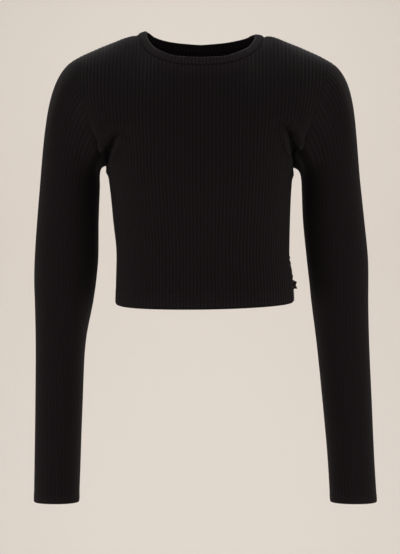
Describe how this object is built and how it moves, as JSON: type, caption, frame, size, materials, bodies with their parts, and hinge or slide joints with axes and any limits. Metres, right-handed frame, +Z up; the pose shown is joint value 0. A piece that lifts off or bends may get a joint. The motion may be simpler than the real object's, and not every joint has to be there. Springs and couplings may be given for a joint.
{
  "type": "long-sleeved cropped top",
  "caption": "Long-sleeved cropped top in black vertical rib knit, with a round banded neck, turned hem and cuffs and a small side tab, hollow as worn.",
  "frame": {"origin": "middle of the neck opening at the height of the neck points, where the wearer's shoulders hold the top", "axes": "+Z up, the front faces -Y, +X is the wearer's left"},
  "size_m": [0.4761, 0.2092, 0.6573],
  "materials": {
    "rib_knit": "fine vertical rib knit with a soft sheen",
    "neckband_knit": "doubled fine rib knit",
    "tab_ribbon": "flat woven ribbon"
  },
  "bodies": {
    "root": {"front": "rib_knit", "back": "rib_knit", "sleeve_left_upper": "rib_knit", "sleeve_left_lower": "rib_knit", "sleeve_right_upper": "rib_knit", "sleeve_right_lower": "rib_knit", "neckband": "neckband_knit", "side_tab": "tab_ribbon"}
  },
  "joints": []
}
